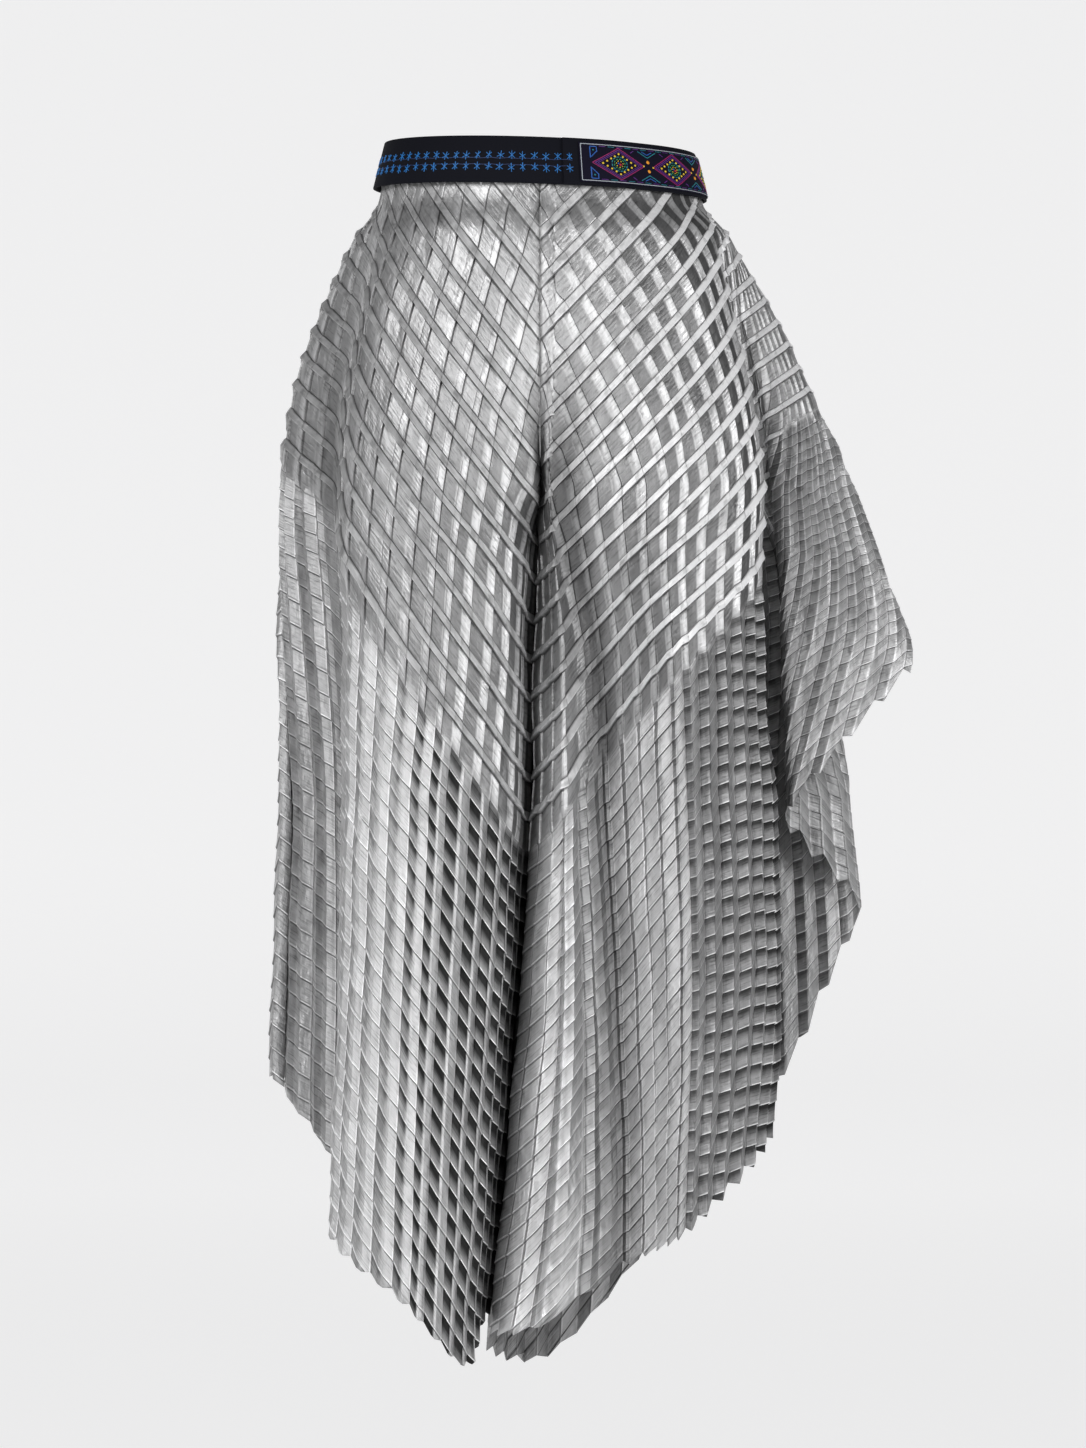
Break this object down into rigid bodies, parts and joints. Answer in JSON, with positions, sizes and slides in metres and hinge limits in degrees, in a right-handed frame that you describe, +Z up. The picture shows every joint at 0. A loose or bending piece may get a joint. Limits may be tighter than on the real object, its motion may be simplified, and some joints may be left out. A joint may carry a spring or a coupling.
{
  "type": "pleated trousers",
  "caption": "Wide-legged trousers in crossed-pleated silver satin, with a slanting hem, a flared side wing and a dark waistband with a woven trimming.",
  "frame": {"origin": "middle of the waist opening, inside the waistband", "axes": "+Z up, -Y to the front of the garment, +X to the left side of the wearer"},
  "size_m": [0.4857, 0.238, 0.9383],
  "materials": {
    "satin": "metallic pleated satin",
    "band_cloth": "dark matt cloth",
    "woven_trimming": "woven trimming"
  },
  "bodies": {
    "root": {"right_front_panel": "satin", "right_back_panel": "satin", "left_front_panel": "satin", "left_back_panel": "satin", "waistband": "band_cloth", "ornament_ribbon": "woven_trimming"}
  },
  "joints": []
}
